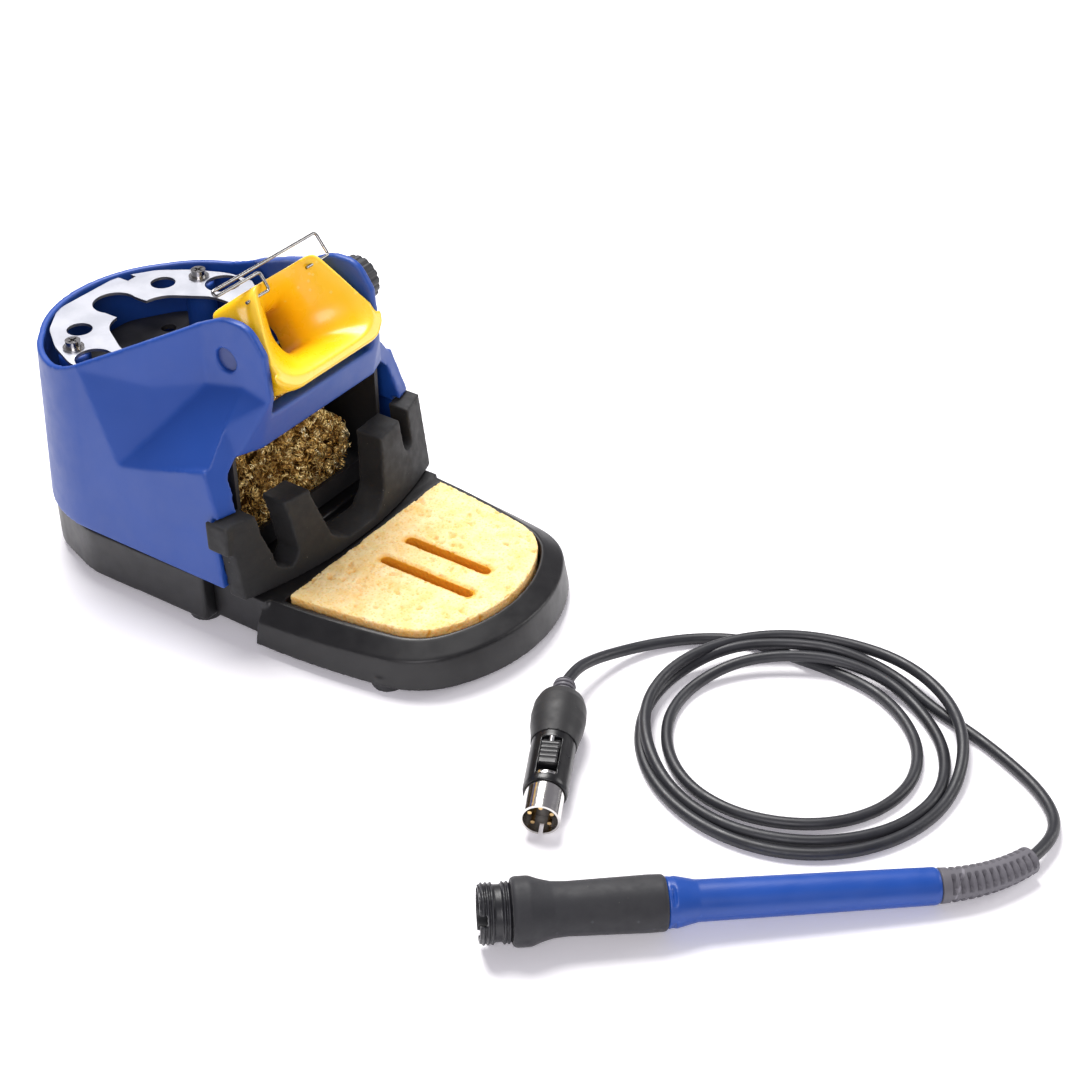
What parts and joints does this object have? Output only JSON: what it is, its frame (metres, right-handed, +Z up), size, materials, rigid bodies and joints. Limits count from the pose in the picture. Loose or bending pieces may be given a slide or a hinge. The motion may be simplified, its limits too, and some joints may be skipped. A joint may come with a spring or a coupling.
{
  "type": "soldering iron station",
  "caption": "Soldering iron stand with a tilting receptacle, tip storage, brass wool, rubber wiper and sponge tray, with its handpiece, cord and round plug.",
  "frame": {"origin": "on the bench under the middle of the box around the stand and its handpiece", "axes": "+Z up; +Y from the sponge tray towards the back of the stand; +X towards the side with the knob"},
  "size_m": [0.1971, 0.4143, 0.1279],
  "materials": {
    "blue_plastic": "satin moulded",
    "black_plastic": "satin moulded",
    "liner_plastic": "matte",
    "wiper_rubber": "matte silicone",
    "yellow_plastic": "glossy moulded",
    "foot_rubber": "matte",
    "plate_steel": "brushed stainless",
    "screw_chrome": "bright",
    "screw_steel": "zinc plated",
    "ballast_iron": "painted",
    "wire_steel": "drawn",
    "wool_brass": "curled ribbon",
    "sponge_yellow": "moist cellulose",
    "knob_grey": "ribbed",
    "pin_steel": "turned",
    "nose_black": "satin threaded",
    "grip_rubber": "soft matte",
    "handle_blue": "satin",
    "insulator": "moulded",
    "contact_gold": "plated",
    "relief_grey": "soft",
    "cord_black": "smooth",
    "plug_black": "polished",
    "nickel": "plated"
  },
  "bodies": {
    "stand": {"housing": "blue_plastic", "base": "black_plastic", "base_feet": "foot_rubber", "base_screws": "screw_steel", "ballast_plate": "ballast_iron", "ballast_screws": "screw_steel", "cleaner_bin": "liner_plastic", "brass_wool": "wool_brass", "tip_plate": "plate_steel", "tip_plate_screws": "screw_chrome", "lower_tip_rack": "liner_plastic", "pivot_pin": "blue_plastic", "pivot_bush": "blue_plastic", "friction_washer": "foot_rubber"},
    "receptacle": {"receptacle": "yellow_plastic", "lock_nut": "screw_steel"},
    "rest_wire": {"rest_wire": "wire_steel"},
    "knob": {"knob": "knob_grey", "knob_screw": "screw_steel"},
    "tray": {"sponge_tray": "black_plastic", "tray_feet": "foot_rubber", "wiper": "wiper_rubber"},
    "sponge": {"sponge": "sponge_yellow"},
    "iron": {"nose_socket": "nose_black", "grip": "grip_rubber", "handle_shell": "handle_blue", "cartridge_stop": "insulator", "contact_pins": "contact_gold", "cord_clamp": "pin_steel", "inner_lead": "cord_black", "strain_relief": "relief_grey", "cord_to_handle": "cord_black", "cord_coil": "cord_black", "cord_to_plug": "cord_black", "plug_strain_relief": "plug_black", "plug_boot": "cord_black", "plug_body": "plug_black", "plug_latch_spring": "pin_steel", "plug_shell": "nickel", "plug_insulator": "insulator", "plug_pins": "contact_gold", "plug_lead": "cord_black"},
    "plug_latch": {"plug_latch": "plug_black"}
  },
  "joints": [
    {"name": "receptacle_tilt", "type": "hinge", "parent": "stand", "child": "receptacle", "pos_m": [0.038, 0.0983, 0.1014], "axis": [1, 0, 0], "range_deg": [-15, 8]},
    {"name": "rest_wire_swing", "type": "hinge", "parent": "receptacle", "child": "rest_wire", "pos_m": [0.038, 0.0957, 0.12], "axis": [1, 0, 0], "range_deg": [-30, 60]},
    {"name": "knob_turn", "type": "hinge", "parent": "stand", "child": "knob", "pos_m": [0.038, 0.0983, 0.1014], "axis": [1, 0, 0], "range_deg": [0, 270]},
    {"name": "tray_pull", "type": "slide", "parent": "stand", "child": "tray", "axis": [0, -1, 0], "range_m": [0, 0.015]},
    {"name": "sponge_lift", "type": "slide", "parent": "tray", "child": "sponge", "axis": [0, 0, 1], "range_m": [0, 0.05]},
    {"name": "iron_lift", "type": "slide", "parent": "stand", "child": "iron", "axis": [0, 0, 1], "range_m": [0, 0.12]},
    {"name": "latch_slide", "type": "slide", "parent": "iron", "child": "plug_latch", "axis": [0.8893, 0.4531, 0.061], "range_m": [0, 0.003], "stiffness_N_per_m": 400, "deforming": ["plug_latch_spring"]}
  ]
}
